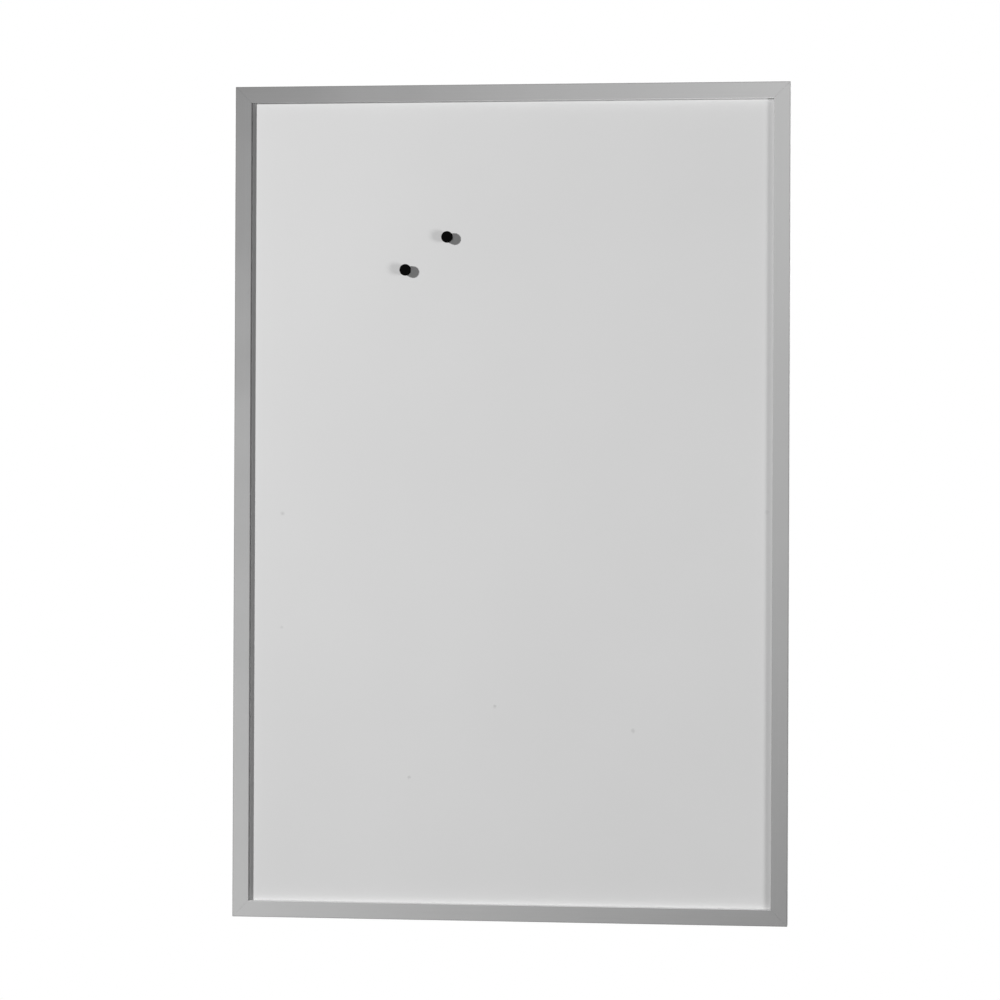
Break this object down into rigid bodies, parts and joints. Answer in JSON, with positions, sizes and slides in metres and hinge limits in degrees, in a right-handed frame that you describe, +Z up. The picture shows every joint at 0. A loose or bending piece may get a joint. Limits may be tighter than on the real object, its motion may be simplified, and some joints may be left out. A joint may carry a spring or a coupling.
{
  "type": "magnetic whiteboard",
  "caption": "Portrait magnetic whiteboard with a mitred aluminium frame, a recessed enamelled steel face, keyhole wall hangers behind and small round black magnets on it.",
  "frame": {"origin": "on the wall plane, midway between the round entries of the wall hangers' keyholes, which is also the middle of the board", "axes": "+X to the right and +Z up for someone facing the board, +Y from the board towards the wall"},
  "size_m": [0.6, 0.0275, 0.9],
  "materials": {
    "frame_aluminium": "matt anodised",
    "white_enamel": "smooth white vitreous enamel on steel",
    "particle_board": "raw pressed chips",
    "galvanised_steel": "hot dipped spangle",
    "key_steel": "pressed",
    "zinc_plate": "bright zinc",
    "screw_steel": "bright zinc",
    "bumper_rubber": "matt",
    "black_plastic": "fine moulded grain",
    "cup_steel": "nickel plated",
    "magnet_nickel": "nickel plated"
  },
  "bodies": {
    "board": {"rail_top": "frame_aluminium", "rail_bottom": "frame_aluminium", "rail_left": "frame_aluminium", "rail_right": "frame_aluminium", "writing_sheet": "white_enamel", "core_board": "particle_board", "backing_sheet": "galvanised_steel", "corner_key_top_left": "key_steel", "corner_key_top_right": "key_steel", "corner_key_bottom_left": "key_steel", "corner_key_bottom_right": "key_steel", "hanger_plate_top_left": "zinc_plate", "hanger_plate_top_right": "zinc_plate", "hanger_plate_bottom_left": "zinc_plate", "hanger_plate_bottom_right": "zinc_plate", "hanger_screws": "screw_steel", "wall_bumper_top_left": "bumper_rubber", "wall_bumper_top_right": "bumper_rubber", "wall_bumper_bottom_left": "bumper_rubber", "wall_bumper_bottom_right": "bumper_rubber"},
    "upper_magnet": {"upper_magnet_grip": "black_plastic", "upper_magnet_cup": "cup_steel", "upper_magnet_disc": "magnet_nickel"},
    "lower_magnet": {"lower_magnet_grip": "black_plastic", "lower_magnet_cup": "cup_steel", "lower_magnet_disc": "magnet_nickel"}
  },
  "joints": [
    {"name": "upper_magnet_pull", "type": "slide", "parent": "board", "child": "upper_magnet", "axis": [0, -1, 0], "range_m": [0, 0.05]},
    {"name": "lower_magnet_pull", "type": "slide", "parent": "board", "child": "lower_magnet", "axis": [0, -1, 0], "range_m": [0, 0.05]}
  ]
}
